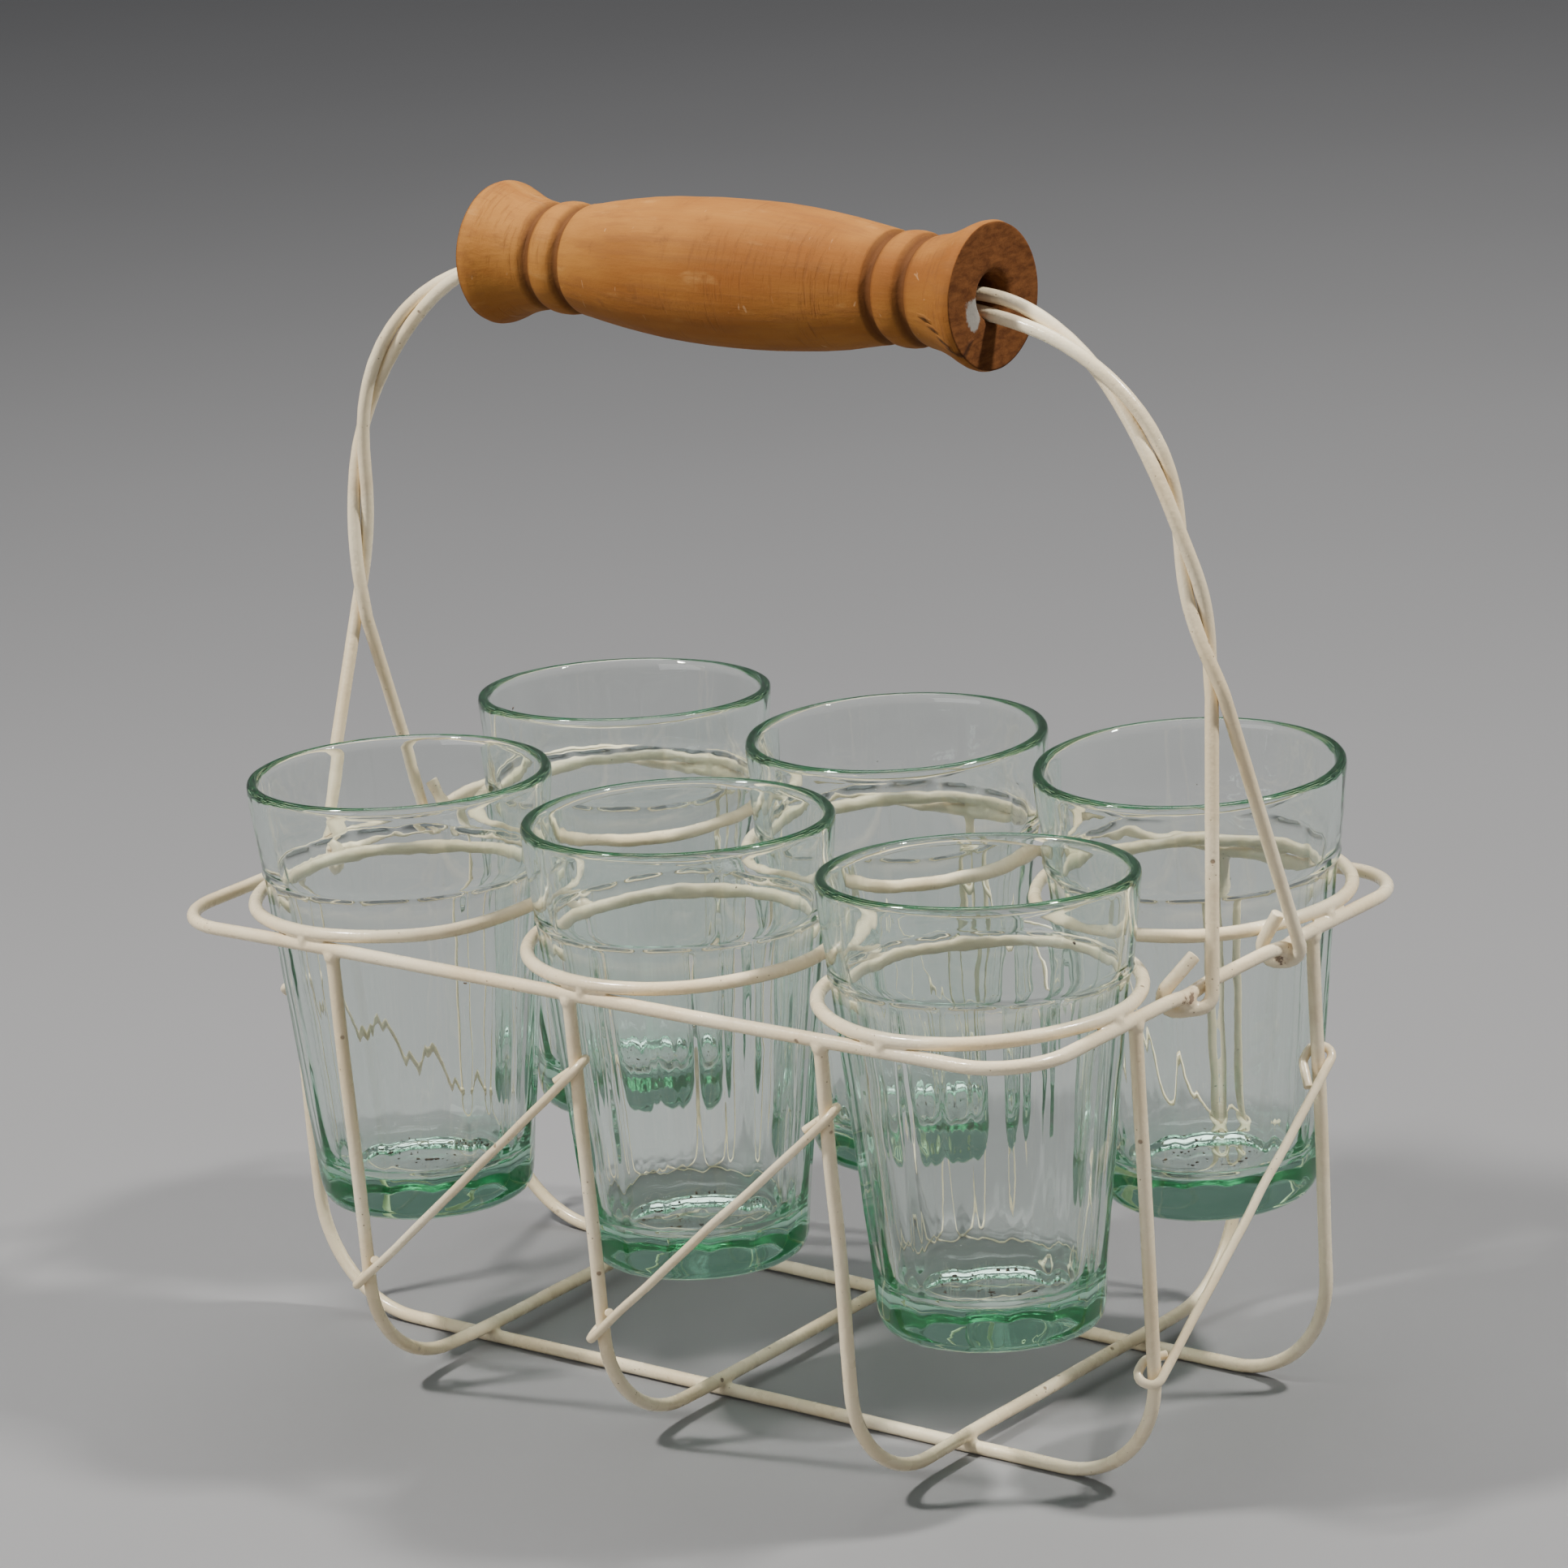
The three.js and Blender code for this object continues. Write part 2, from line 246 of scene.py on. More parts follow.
def tube_parts(points, radii, sides=16, closed=False):
    """Vertices and faces of a round tube. Its ends are cut flat and a little rounded over by paint."""
    points = np.asarray(points, float)
    radii = np.broadcast_to(np.asarray(radii, float), (len(points),)).copy()
    tangents, normals, binormals = travelling_frames(points, closed)
    if not closed:
        head = [(points[0] - tangents[0] * radii[0] * a, radii[0] * b) for a, b in reversed(CUT_END)]
        tail = [(points[-1] + tangents[-1] * radii[-1] * a, radii[-1] * b) for a, b in CUT_END]
        points = np.vstack([[p for p, _ in head], points, [p for p, _ in tail]])
        radii = np.concatenate([[r for _, r in head], radii, [r for _, r in tail]])
        normals = np.vstack([[normals[0]] * 3, normals, [normals[-1]] * 3])
        binormals = np.vstack([[binormals[0]] * 3, binormals, [binormals[-1]] * 3])
    angles = np.arange(sides) * 2 * math.pi / sides
    cos, sin = np.cos(angles), np.sin(angles)
    around = cos[None, :, None] * normals[:, None] + sin[None, :, None] * binormals[:, None]
    verts = (points[:, None] + radii[:, None, None] * around).reshape(-1, 3)
    count = len(points)
    faces = []
    for i in range(count if closed else count - 1):
        a, b = i * sides, (i + 1) % count * sides
        for j in range(sides):
            k = (j + 1) % sides
            faces.append((a + j, a + k, b + k, b + j))
    if not closed:
        faces.append(tuple(reversed(range(sides))))
        faces.append(tuple((count - 1) * sides + j for j in range(sides)))
    return verts, faces


def paint_thickness(points, seed, radius):
    """The brushed coat is a little thicker in some places than in others."""
    shift = Vector((seed * 7.3, seed * 3.1, 0))
    slow = np.array([noise.noise(Vector(p) * 0.11 + shift) for p in points])
    fast = np.array([noise.noise(Vector(p) * 0.45 + shift) for p in points])
    return radius * (1 + 0.022 * slow + 0.014 * fast)


# Worn places: where hooks rub on the rim, and where the carrier stands.
wear_spots = []


def wear_of(verts):
    wear = np.zeros(len(verts))
    for spot in wear_spots:
        distance = np.linalg.norm(verts - spot, axis=1)
        wear = np.maximum(wear, np.exp(-((distance / WEAR_REACH) ** 2)))
    return np.maximum(wear, np.clip(1 - verts[:, 2] / STANDING_WEAR, 0, 1))


routes = {}
painted_pieces = []


def painted_wire(name, nodes, points, radius, seed, closed=False, step=WIRE_STEP, sides=WIRE_SIDES, size=0.3):
    route = wobbled(resampled(points, step, closed), seed, size, closed=closed)
    routes[name] = (route, radius)
    verts, faces = tube_parts(route, paint_thickness(route, seed, radius), sides, closed)
    piece = new_object(name, verts, faces, paint)
    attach(piece, "frame")
    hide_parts(*nodes)
    painted_pieces.append(piece)
    return piece


# ---- materials -----------------------------------------------------------------------------
class Nodes:
    """A small helper that adds shader nodes and links them."""

    def __init__(self, name):
        self.material = bpy.data.materials.new(name)
        self.material.use_nodes = True
        self.tree = self.material.node_tree
        self.tree.nodes.clear()
        self.output = self.add("ShaderNodeOutputMaterial")
        self.shader = self.add("ShaderNodeBsdfPrincipled")
        self.link(self.shader.outputs[0], self.output.inputs["Surface"])
        self.coordinates = self.add("ShaderNodeTexCoord").outputs["Object"]

    def add(self, kind, **settings):
        node = self.tree.nodes.new(kind)
        for key, value in settings.items():
            setattr(node, key, value)
        return node

    def link(self, source, target):
        if isinstance(source, (int, float, tuple)):
            target.default_value = source
        else:
            self.tree.links.new(source, target)

    def math(self, operation, a, b=0.0, clamp=False):
        node = self.add("ShaderNodeMath", operation=operation, use_clamp=clamp)
        self.link(a, node.inputs[0])
        self.link(b, node.inputs[1])
        return node.outputs[0]

    def stretched(self, scale):
        node = self.add("ShaderNodeMapping")
        self.link(self.coordinates, node.inputs["Vector"])
        node.inputs["Scale"].default_value = scale
        return node.outputs[0]

    def noise(self, scale, detail=3.0, roughness=0.5, distortion=0.0, vector=None):
        node = self.add("ShaderNodeTexNoise")
        self.link(vector or self.coordinates, node.inputs["Vector"])
        node.inputs["Scale"].default_value = scale
        node.inputs["Detail"].default_value = detail
        node.inputs["Roughness"].default_value = roughness
        node.inputs["Distortion"].default_value = distortion
        return node.outputs["Fac"]

    def cells(self, scale):
        node = self.add("ShaderNodeTexVoronoi")
        self.link(self.coordinates, node.inputs["Vector"])
        node.inputs["Scale"].default_value = scale
        return node.outputs["Distance"]

    def ramp(self, value, low, high, from_zero=True):
        """0 below low and 1 above high, or the other way round."""
        node = self.add("ShaderNodeMapRange", clamp=True, interpolation_type="SMOOTHSTEP")
        self.link(value, node.inputs["Value"])
        node.inputs["From Min"].default_value = low
        node.inputs["From Max"].default_value = high
        node.inputs["To Min"].default_value = 0.0 if from_zero else 1.0
        node.inputs["To Max"].default_value = 1.0 if from_zero else 0.0
        return node.outputs["Result"]

    def mix(self, factor, a, b):
        node = self.add("ShaderNodeMix", data_type="RGBA")
        self.link(factor, node.inputs[0])
        for source, target in ((a, node.inputs[6]), (b, node.inputs[7])):
            if isinstance(source, tuple):
                target.default_value = (*source, 1.0)
            else:
                self.tree.links.new(source, target)
        return node.outputs[2]

    def attribute(self, name):
        return self.add("ShaderNodeAttribute", attribute_name=name).outputs["Fac"]

    def bump(self, height, strength, distance, normal=None):
        node = self.add("ShaderNodeBump")
        self.link(height, node.inputs["Height"])
        node.inputs["Strength"].default_value = strength
        node.inputs["Distance"].default_value = distance
        if normal is not None:
            self.link(normal, node.inputs["Normal"])
        return node.outputs["Normal"]

    def set(self, **values):
        for key, value in values.items():
            self.link(value, self.shader.inputs[key.replace("_", " ")])


def paint_material():
    """Cream gloss paint, brushed on thickly: pinholes, brown specks, bare brown metal where it is chipped."""
    n = Nodes("cream_paint")
    wear = n.attribute("wear")
    warm = n.mix(n.ramp(n.noise(28, 4), 0.35, 0.68), (0.82, 0.67, 0.43), (0.90, 0.785, 0.565))
    tea = n.ramp(n.noise(75, 5, 0.62), 0.54, 0.78)
    toned = n.mix(n.math("MULTIPLY", tea, 0.42), warm, (0.60, 0.43, 0.25))
    where = n.math("MAXIMUM", n.ramp(n.noise(46, 2), 0.45, 0.6), n.math("MULTIPLY", wear, 0.9))
    pinholes = n.math("MULTIPLY", n.ramp(n.cells(520), 0.06, 0.12, from_zero=False), where)
    blots = n.math("MULTIPLY", n.ramp(n.cells(150), 0.05, 0.1, from_zero=False), where)
    specks = n.math("MAXIMUM", pinholes, blots)
    specked = n.mix(n.math("MULTIPLY", specks, 0.75), toned, (0.16, 0.08, 0.04))
    ragged = n.math("ADD", n.noise(240, 5, 0.65), n.math("MULTIPLY", wear, 0.24))
    chips = n.ramp(ragged, 0.77, 0.79)
    rust = n.mix(n.noise(900, 3), (0.13, 0.085, 0.055), (0.38, 0.27, 0.18))
    halo = n.ramp(ragged, 0.66, 0.8)
    stained = n.mix(n.math("MULTIPLY", halo, 0.45), specked, (0.55, 0.36, 0.20))
    n.set(Base_Color=n.mix(chips, stained, rust))
    gloss = n.math("ADD", 0.18, n.math("MULTIPLY", n.noise(190, 3), 0.18))
    n.set(Roughness=n.math("ADD", gloss, n.math("MULTIPLY", chips, 0.4), clamp=True))
    n.set(Coat_Weight=0.3, Coat_Roughness=0.1, IOR=1.5)
    height = n.math("ADD", n.noise(330, 3), n.math("MULTIPLY", n.noise(1400, 2), 0.4))
    pitted = n.math("SUBTRACT", height, n.math("MULTIPLY", n.math("MAXIMUM", specks, chips), 1.3))
    n.set(Normal=n.bump(pitted, 0.4, 0.0004))
    return n.material


def wood_material():
    """Turned hardwood: fine figure along the grip, chatter marks, painted shade in the grooves and darker end
    grain.
    """
    n = Nodes("turned_wood")
    groove_shade, end, smear, crack = (n.attribute(a) for a in ("groove_shade", "endgrain", "smear", "crack"))
    along = n.stretched((0.07, 1.0, 1.0))
    figure = n.noise(110, 6, 0.65, distortion=0.4, vector=along)
    fibre = n.noise(520, 3, 0.6, vector=n.stretched((0.05, 1.0, 1.0)))
    cloud = n.noise(30, 4, 0.6, vector=n.stretched((0.5, 1.0, 1.0)))
    honey = n.mix(n.ramp(cloud, 0.32, 0.7), (0.365, 0.158, 0.034), (0.235, 0.084, 0.017))
    figured = n.mix(n.math("MULTIPLY", n.ramp(figure, 0.42, 0.68), 0.55), honey, (0.24, 0.08, 0.016))
    fibred = n.mix(n.math("MULTIPLY", n.ramp(fibre, 0.48, 0.7), 0.5), figured, (0.23, 0.09, 0.025))
    pale = n.ramp(n.noise(210, 4, 0.6, vector=n.stretched((0.3, 1.0, 1.0))), 0.6, 0.74)
    worn = n.mix(n.math("MULTIPLY", pale, 0.36), fibred, (0.45, 0.235, 0.075))
    chatter = n.noise(950, 3, 0.6, vector=n.stretched((1.0, 0.12, 0.12)))
    chatter_here = n.math("MULTIPLY", n.ramp(chatter, 0.5, 0.72), n.ramp(n.noise(42, 2), 0.46, 0.62))
    ticked = n.mix(n.math("MULTIPLY", chatter_here, 0.45), worn, (0.17, 0.065, 0.02))
    grime = n.ramp(n.noise(150, 5, 0.7), 0.58, 0.74)
    handled = n.mix(n.math("MULTIPLY", grime, 0.42), ticked, (0.14, 0.055, 0.02))
    # Painted shade: the grooves are darkened most at their bottoms, where shade falls in them.
    groove_shaded = n.mix(n.math("MULTIPLY", groove_shade, 0.85), handled, (0.09, 0.032, 0.010))
    saw = n.noise(520, 5, 0.7, distortion=0.3, vector=n.stretched((1.0, 0.5, 1.3)))
    raw_end = n.mix(n.ramp(saw, 0.25, 0.75), (0.075, 0.026, 0.009), (0.17, 0.065, 0.021))
    ended = n.mix(end, groove_shaded, raw_end)
    cracked = n.mix(n.math("MULTIPLY", crack, 0.8), ended, (0.04, 0.016, 0.008))
    scratch = n.ramp(n.noise(520, 2, distortion=0.8, vector=n.stretched((1.0, 0.1, 0.4))), 0.72, 0.75)
    marked = n.mix(n.math("MULTIPLY", scratch, 0.22), cracked, (0.72, 0.48, 0.27))
    daub = n.ramp(n.math("ADD", smear, n.math("MULTIPLY", n.noise(420, 5, 0.7), 0.7)), 0.86, 1.02)
    n.set(Base_Color=n.mix(daub, marked, (0.25, 0.235, 0.21)))
    dull = n.math("ADD", 0.6, n.math("MULTIPLY", figure, 0.22))
    n.set(Roughness=n.math("ADD", dull, n.math("MULTIPLY", end, 0.25), clamp=True))
    n.set(Specular_IOR_Level=0.14, IOR=1.45)
    dents = n.math("ADD", n.math("MULTIPLY", fibre, 0.6), n.math("MULTIPLY", figure, 0.5))
    cuts = n.math("ADD", n.math("MULTIPLY", chatter_here, 0.4), n.math("MULTIPLY", crack, 4.0))
    carved = n.math("SUBTRACT", dents, cuts)
    n.set(Normal=n.bump(carved, 0.55, 0.0004, n.bump(n.noise(800, 4, 0.7), 0.3, 0.0003)))
    return n.material


def glass_material():
    """Pale green pressed glass: the tint grows with the thickness that light passes through."""
    n = Nodes("green_glass")
    n.set(Base_Color=(1.0, 1.0, 1.0, 1.0), IOR=1.5, Transmission_Weight=1.0)
    smudge = n.ramp(n.noise(38, 4, 0.6), 0.58, 0.85)
    n.set(Roughness=n.math("MULTIPLY", smudge, 0.05))
    n.set(Normal=n.bump(n.noise(90, 2), 0.12, 0.0006))
    tint = n.add("ShaderNodeVolumeAbsorption")
    tint.inputs["Color"].default_value = (0.20, 0.77, 0.50, 1.0)
    tint.inputs["Density"].default_value = 24.0
    n.link(tint.outputs[0], n.output.inputs["Volume"])
    return n.material


def speck_material():
    n = Nodes("brown_grit")
    n.set(Base_Color=n.mix(n.noise(900, 2), (0.03, 0.014, 0.006), (0.11, 0.05, 0.02)))
    n.set(Roughness=n.math("ADD", 0.6, n.math("MULTIPLY", n.noise(1500, 2), 0.3)))
    return n.material


def floor_material():
    n = Nodes("pale_floor")
    n.set(Base_Color=n.mix(n.noise(3, 3), (0.20, 0.20, 0.206), (0.225, 0.225, 0.232)))
    n.set(Roughness=0.75)
    return n.material


# ---- frame wires ---------------------------------------------------------------------------
def place_wear():
    for end, all_feet in ((-1, LEFT_FEET), (1, RIGHT_FEET)):
        for outside_y, inside_y, _ in all_feet.values():
            wear_spots.append(np.array([end * RIM_X, (outside_y + inside_y) / 2, RIM_Z]))


def rim_route():
    signs = ((1, 1), (-1, 1), (-1, -1), (1, -1))
    corners = [np.array([across * RIM_X, back * RIM_Y, RIM_Z]) for across, back in signs]
    points = []
    for i, corner in enumerate(corners):
        points += bend_points(corners[i - 1], corner, corners[(i + 1) % 4], RIM_CORNER)
    route = resampled(points, WIRE_STEP, closed=True)
    for spot in wear_spots:
        distance = np.linalg.norm(route - spot, axis=1)
        dip = np.exp(-((distance / RIM_DENT_REACH) ** 2))
        route[:, 2] -= RIM_DENT * dip
        route[:, 0] -= np.sign(spot[0]) * RIM_DENT_IN * dip
    return route


def make_frame():
    painted_wire("rim_wire", ["top_rim"], rim_route(), WIRE_RADIUS, 1, closed=True)
    for i, middle in enumerate(ring_middles):
        angles = np.linspace(0, 2 * math.pi, 180, endpoint=False)
        circle = [
            (middle[0] + RING_RADIUS * math.cos(a), middle[1] + RING_RADIUS * math.sin(a), RING_Z)
            for a in angles
        ]
        name = f"ring_wire_{i + 1}"
        painted_wire(name, [f"glass_ring_{i + 1}"], circle, WIRE_RADIUS, 10 + i, closed=True, size=0.22)
    for row, first in (("front", 0), ("back", 3)):
        for letter, left in (("a", first), ("b", first + 1)):
            y = ring_middles[left][1] + LINK_OFFSET
            reach = math.sqrt(RING_RADIUS**2 - LINK_OFFSET**2)
            start, finish = ring_middles[left][0] + reach, ring_middles[left + 1][0] - reach
            ends = [(start, y, RING_Z), (finish, y, RING_Z)]
            name = f"link_wire_{row}_{letter}"
            painted_wire(name, [f"ring_link_{row}_{letter}"], ends, WIRE_RADIUS, 20 + left)
    for i, (name, x) in enumerate(zip(("left", "middle", "right"), CROSS_X)):
        corners = [
            (x, -RIM_Y, UPRIGHT_TOP), (x, -CROSS_BASE_Y, CROSS_Z),
            (x, CROSS_BASE_Y, CROSS_Z), (x, RIM_Y, UPRIGHT_TOP),
        ]
        route = bent(corners, CROSS_BEND)
        painted_wire(f"cross_{name}", [f"cross_wire_{name}"], route, WIRE_RADIUS, 30 + i)
    for i, (name, y) in enumerate(zip(("front", "back"), LONG_Y)):
        corners = [
            (-RIM_X, y, UPRIGHT_TOP), (-LONG_BASE_X, y, LONG_Z),
            (LONG_BASE_X, y, LONG_Z), (RIM_X, y, UPRIGHT_TOP),
        ]
        route = bent(corners, LONG_BEND)
        painted_wire(f"long_{name}", [f"long_wire_{name}"], route, WIRE_RADIUS, 40 + i, size=0.22)


def cross_upright(column, side, z):
    part = (z - CROSS_Z) / (UPRIGHT_TOP - CROSS_Z)
    return np.array([CROSS_X[column], side * (CROSS_BASE_Y + part * (RIM_Y - CROSS_BASE_Y)), z])


def long_upright(end, side, z):
    part = (z - LONG_Z) / (UPRIGHT_TOP - LONG_Z)
    return np.array([end * (LONG_BASE_X + part * (RIM_X - LONG_BASE_X)), LONG_Y[(side + 1) // 2], z])


def brace_route(low, high, outward, tail):
    """Along the outside of two uprights, with each end wrapped back behind its upright.

    tail says where each free end lies: out from the uprights, and above the brace.
    """
    run = unit(high - low)
    out = unit(outward - run * (outward @ run))
    above = np.cross(run, out)
    above *= np.sign(above[2])
    tail_end = out * tail[0] + above * tail[1]
    shift = above * BRACE_TAIL_SHIFT
    offset = WIRE_RADIUS + BRACE_RADIUS + COAT
    corners = [
        low + run * BRACE_LOW_TAIL + tail_end,
        low + run * BRACE_PAST_UPRIGHT - out * offset + shift,
        low - run * BRACE_HOOK_REACH - out * offset + shift,
        low - run * BRACE_HOOK_REACH + out * offset,
        high + run * BRACE_HOOK_REACH + out * offset,
        high + run * BRACE_HOOK_REACH - out * offset + shift,
        high - run * BRACE_PAST_UPRIGHT - out * offset + shift,
        high - run * BRACE_HIGH_TAIL + tail_end,
    ]
    return bent(corners, BRACE_HOOK_BEND)


def make_braces():
    braces = []
    for name, side, low_column, high_column in (
        ("front_left", -1, 0, 1), ("front_right", -1, 1, 2), ("back_left", 1, 1, 0), ("back_right", 1, 2, 1),
    ):
        low = cross_upright(low_column, side, BRACE_LOW_Z)
        high = cross_upright(high_column, side, BRACE_HIGH_Z)
        braces.append((name, low, high, np.array([0.0, side, 0.0]), TAIL_BEHIND))
    for name, end, low_side in (("end_left", -1, 1), ("end_right", 1, -1)):
        low = long_upright(end, low_side, END_BRACE_LOW_Z)
        high = long_upright(end, -low_side, END_BRACE_HIGH_Z)
        braces.append((name, low, high, np.array([end, 0.0, 0.0]), TAIL_BESIDE))
    for i, (name, low, high, outward, tail) in enumerate(braces):
        painted_wire(
            f"brace_wire_{name}", [f"brace_{name}"], brace_route(low, high, outward, tail),
            BRACE_RADIUS, 50 + i, step=BRACE_STEP, sides=BRACE_SIDES, size=0.12,
        )


# ---- bail ----------------------------------------------------------------------------------
def leg_route(end, feet, split):
    outside_y, inside_y, tip_y = feet
    rim_x = end * RIM_X
    low = RIM_Z - HOOK["under"]
    corners = [
        (rim_x - end * HOOK["tip_back"], tip_y, RIM_Z + HOOK["tip_rise"]),
        (rim_x - end * HOOK["rise_back"], inside_y, RIM_Z + HOOK["rise"]),
        (rim_x - end * HOOK["back"], inside_y, low),
        (rim_x + end * HOOK["out"], outside_y, low),
        split,
    ]
    return bent(corners, HOOK["bend"])[:-1]


def twist_route(phase):
    """One wire of the twisted pair: a helix about the bail's middle line."""
    middle = resampled(bent([SPLITS[0], *SHOULDERS, SPLITS[1]], SHOULDER_BENDS), WIRE_STEP)
    tangents = np.gradient(middle, axis=0)
    tangents /= np.linalg.norm(tangents, axis=1)[:, None]
    sideways = np.array([0.0, 1.0, 0.0]) - tangents * tangents[:, 1:2]
    sideways /= np.linalg.norm(sideways, axis=1)[:, None]
    outward = np.cross(tangents, sideways)
    share = np.linspace(0, 1, len(middle))
    turns = np.interp(share, *np.transpose(TWIST))
    soft = np.convolve(np.pad(turns, 6, mode="reflect", reflect_type="odd"), np.ones(13) / 13, "valid")
    angle = (phase - soft * math.pi)[:, None]
    spread = TWIST_RADIUS + LOOSE_GAP * np.exp(-(((share - LOOSE_PLACE) / LOOSE_REACH) ** 2))
    return middle + spread[:, None] * (np.cos(angle) * sideways + np.sin(angle) * outward)


def make_bail():
    for i, (letter, phase) in enumerate((("a", math.pi / 2), ("b", -math.pi / 2))):
        twist = twist_route(phase)
        left = leg_route(-1, LEFT_FEET[letter], twist[0])
        right = leg_route(1, RIGHT_FEET[letter], twist[-1])
        route = np.vstack([left, twist, right[::-1]])
        name = f"bail_{letter}"
        painted_wire(name, [f"bail_wire_{letter}"], route, WIRE_RADIUS, 60 + i, size=0.0)


# ---- welds ---------------------------------------------------------------------------------
def stub(route, radius, place, reach, closed):
    """The stretch of a wire near a joint, a hair thicker there and thinner towards its ends."""
    distance = np.linalg.norm(route - place, axis=1)
    nearest = int(np.argmin(distance))
    count = len(route)

    def walk(i, step):
        found = []
        while len(found) < count // 2 and (closed or 0 <= i < count) and distance[i % count] <= reach:
            found.append(i % count)
            i += step
        return found

    points = route[walk(nearest, -1)[::-1] + walk(nearest + 1, 1)]
    far = np.linalg.norm(points - route[nearest], axis=1) / reach
    return points, radius * (1.05 - 0.13 * far**2)


def joined(parts):
    """The vertices and faces of several meshes as one."""
    verts, faces = [], []
    for part_verts, part_faces in parts:
        first = len(verts)
        verts += list(part_verts)
        faces += [tuple(first + i for i in face) for face in part_faces]
    return np.array(verts), faces


def fused(rough):
    """One smooth skin round a mesh whose parts run into each other."""
    remesh = rough.modifiers.new("fuse", "REMESH")
    remesh.mode = "VOXEL"
    remesh.voxel_size = WELD_VOXEL * MM
    soften = rough.modifiers.new("soften", "SMOOTH")
    soften.factor = 0.5
    soften.iterations = WELD_SOFTENING
    graph = bpy.context.evaluated_depsgraph_get()
    skin = bpy.data.meshes.new_from_object(rough.evaluated_get(graph))
    bpy.data.objects.remove(rough)
    return skin


def weld(name, place, wires, reach=6.0, blob=1.9):
    """A joint as one smooth lump: the wires' ends and a bead, fused, softened and painted over."""
    parts = []
    for wire in wires:
        route, radius = routes[wire]
        closed = wire.startswith(("rim", "ring"))
        points, radii = stub(route, radius, place, reach, closed)
        if len(points) >= 3:
            parts.append(tube_parts(points, radii, WELD_SIDES))
    bead = np.array([place + UP * t for t in np.linspace(-WELD_BEAD, WELD_BEAD, 4)])
    parts.append(tube_parts(bead, blob, WELD_SIDES))
    skin = fused(new_object(name + "_rough", *joined(parts), None))
    skin.name = name
    skin.materials.clear()
    skin.materials.append(paint)
    skin.shade_smooth()
    piece = bpy.data.objects.new(name, skin)
    bpy.context.scene.collection.objects.link(piece)
    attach(piece, "frame")
    painted_pieces.append(piece)


def make_welds():
    for name, x in zip(("left", "middle", "right"), CROSS_X):
        for side, row in ((-1, "front"), (1, "back")):
            place = np.array([x, side * RIM_Y, RIM_Z - 1.4])
            weld(f"weld_top_{name}_{row}", place, ["rim_wire", f"cross_{name}"])
        for y, row in zip(LONG_Y, ("front", "back")):
            place = np.array([x, y, (LONG_Z + CROSS_Z) / 2])
            weld(f"weld_base_{name}_{row}", place, [f"cross_{name}", f"long_{row}"], blob=1.6)
    for y, row in zip(LONG_Y, ("front", "back")):
        for end, side in ((-1, "left"), (1, "right")):
            place = np.array([end * RIM_X, y, RIM_Z - 1.4])
            weld(f"weld_end_{side}_{row}", place, ["rim_wire", f"long_{row}"])
    for i, middle in enumerate(ring_middles):
        side = -1 if i < 3 else 1
        place = np.array([middle[0], middle[1] + side * RING_RADIUS, (RIM_Z + RING_Z) / 2])
        weld(f"weld_ring_{i + 1}", place, ["rim_wire", f"ring_wire_{i + 1}"], reach=7.0, blob=1.5)
    for row, first in (("front", 0), ("back", 3)):
        for letter, left in (("a", first), ("b", first + 1)):
            reach = math.sqrt(RING_RADIUS**2 - LINK_OFFSET**2)
            for ring, sign, place_name in ((left, 1, "start"), (left + 1, -1, "finish")):
                middle = ring_middles[ring]
                place = np.array([middle[0] + sign * reach, middle[1] + LINK_OFFSET, RING_Z])
                wires = [f"link_wire_{row}_{letter}", f"ring_wire_{ring + 1}"]
                weld(f"weld_link_{row}_{letter}_{place_name}", place, wires, reach=5.0, blob=1.7)
        middle = ring_middles[first + 2]
        place = np.array([RIM_X, middle[1], (RIM_Z + RING_Z) / 2])
        weld(f"weld_far_{row}", place, ["rim_wire", f"ring_wire_{first + 3}"], reach=7.0, blob=1.5)
    for end, side, all_feet in ((-1, "left", LEFT_FEET), (1, "right", RIGHT_FEET)):
        for letter, (outside_y, inside_y, _) in all_feet.items():
            place = np.array([end * (RIM_X - 0.6), (outside_y + inside_y) / 2, RIM_Z - 1.9])
            weld(f"paint_lump_{side}_{letter}", place, ["rim_wire", f"bail_{letter}"], reach=5.0, blob=2.3)


def mark_wear():
    for piece in painted_pieces:
        coords = np.array([v.co for v in piece.data.vertices]) / MM
        point_attribute(piece, "wear", wear_of(coords))


# ---- grip ----------------------------------------------------------------------------------
# Half outline: distance from the middle, radius, and how strongly painted shade darkens the cut groove there.
GRIP_OUTLINE = [
    (0, 15.95, 0), (6, 15.9, 0), (12, 15.7, 0), (18, 15.35, 0), (24, 14.8, 0), (30, 14.05, 0),
    (35, 13.25, 0), (39, 12.55, 0), (41, 12.25, 0.1), (41.5, 12, 0.7), (42.1, 11.2, 1), (42.9, 10.95, 1),
    (43.7, 11.15, 1), (44.2, 11.7, 0.6), (45, 12.1, 0.1), (46.4, 12.3, 0), (48, 12.3, 0), (49.3, 12.1, 0.1),
    (50.1, 11.8, 0.6), (50.7, 11.1, 1), (51.5, 10.85, 1), (52.3, 11.0, 1), (52.9, 11.6, 0.6),
    (54, 11.95, 0.1), (56.5, 12.4, 0), (59, 13.1, 0), (61.5, 14.05, 0), (63.5, 14.95, 0), (65.2, 15.6, 0),
    (66.4, 15.8, 0), (67.2, 15.5, 0.2),
]


